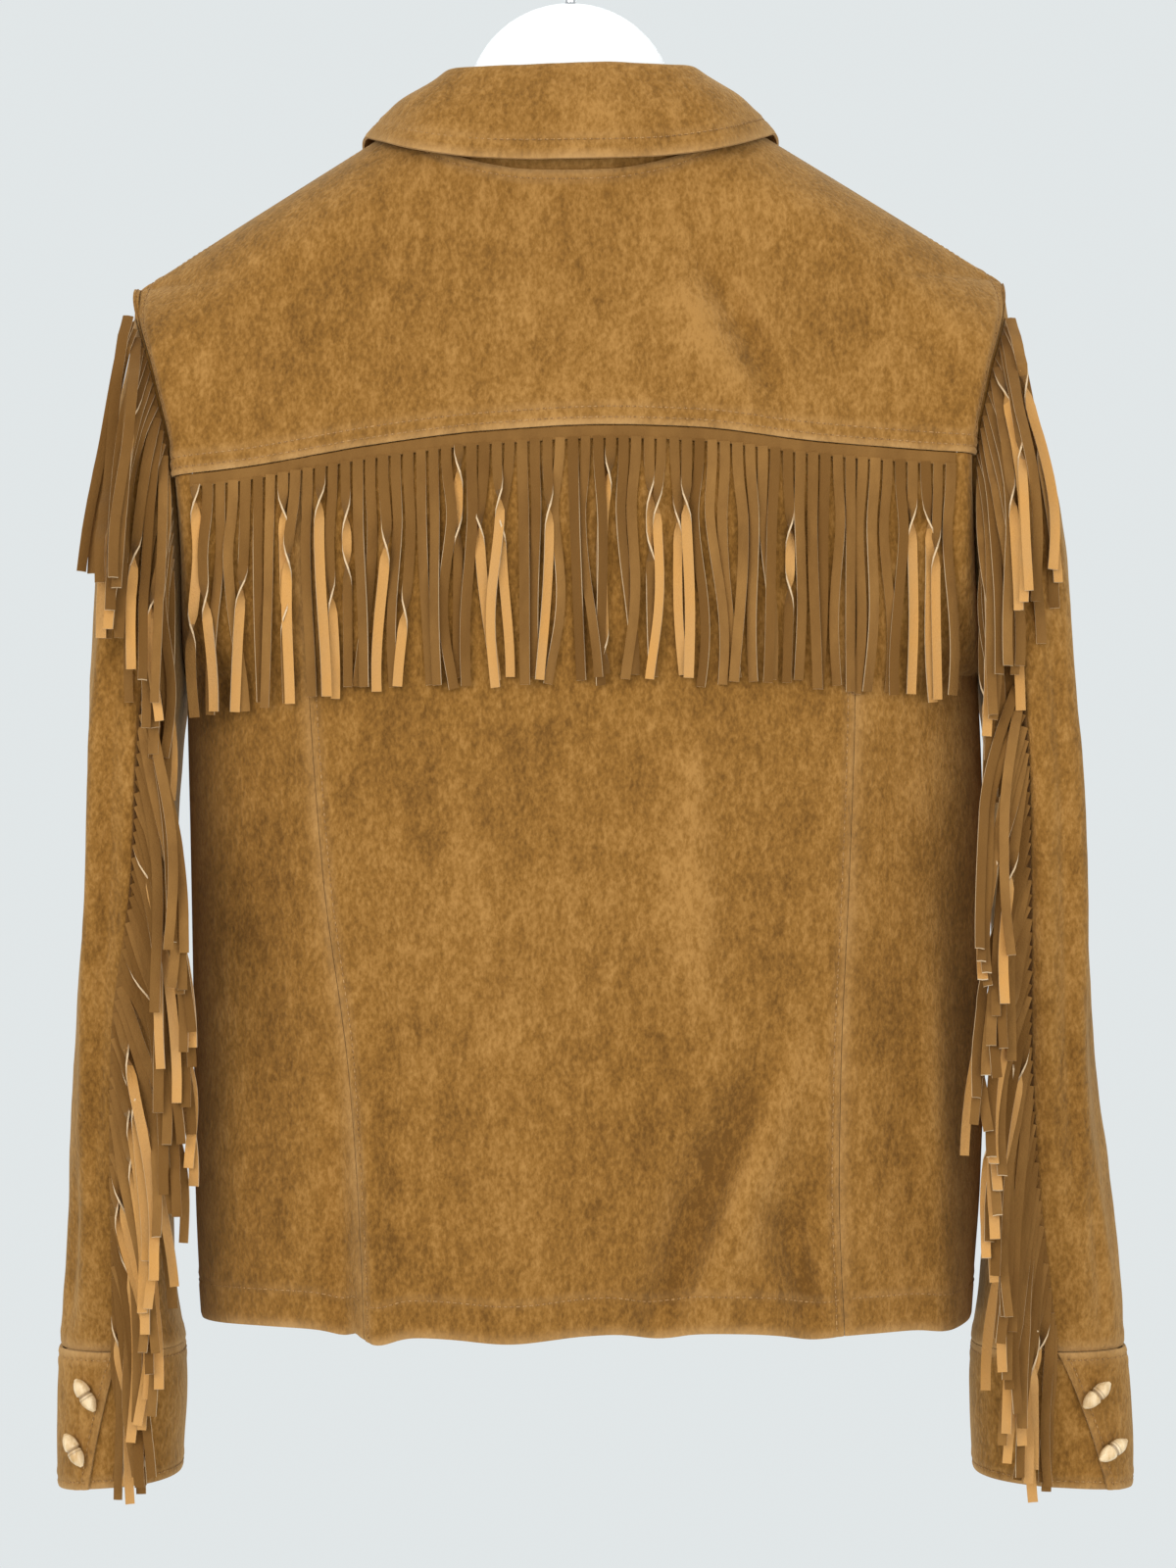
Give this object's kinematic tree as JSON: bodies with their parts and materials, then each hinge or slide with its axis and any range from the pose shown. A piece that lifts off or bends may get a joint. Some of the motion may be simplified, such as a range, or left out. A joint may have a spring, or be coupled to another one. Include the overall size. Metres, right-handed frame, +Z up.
{
  "type": "fringed suede jacket on a hanger",
  "caption": "Suede western jacket on a broad hanger, with a turned-down collar, a back yoke edged with fringe, and fringe down the armholes and sleeves.",
  "frame": {"origin": "inside top of the hanger's hook, where the rail bears", "axes": "+Z up, the jacket's front faces -Y, the wearer's left is +X"},
  "size_m": [0.5367, 0.1892, 0.8098],
  "materials": {
    "suede": "napped suede, mottled",
    "fringe_suede": "cut suede strands, pale at the cut edges",
    "toggle_wood": "satin pale wood",
    "hanger_white": "smooth white",
    "hook_steel": "satin steel wire"
  },
  "bodies": {
    "root": {"back_yoke": "suede", "back_centre": "suede", "back_side_left": "suede", "back_side_right": "suede", "front_left": "suede", "front_right": "suede", "sleeve_left": "suede", "sleeve_right": "suede", "cuff_left": "suede", "cuff_right": "suede", "collar_stand": "suede", "collar": "suede", "fringe_yoke": "fringe_suede", "fringe_armhole_left": "fringe_suede", "fringe_armhole_right": "fringe_suede", "fringe_sleeve_left": "fringe_suede", "fringe_sleeve_right": "fringe_suede", "cuff_toggle_left_1": "toggle_wood", "cuff_toggle_left_2": "toggle_wood", "cuff_toggle_right_1": "toggle_wood", "cuff_toggle_right_2": "toggle_wood", "front_toggle_1": "toggle_wood", "front_toggle_2": "toggle_wood", "front_toggle_3": "toggle_wood", "front_toggle_4": "toggle_wood", "front_toggle_5": "toggle_wood", "hanger": "hanger_white", "hanger_hook": "hook_steel"}
  },
  "joints": []
}
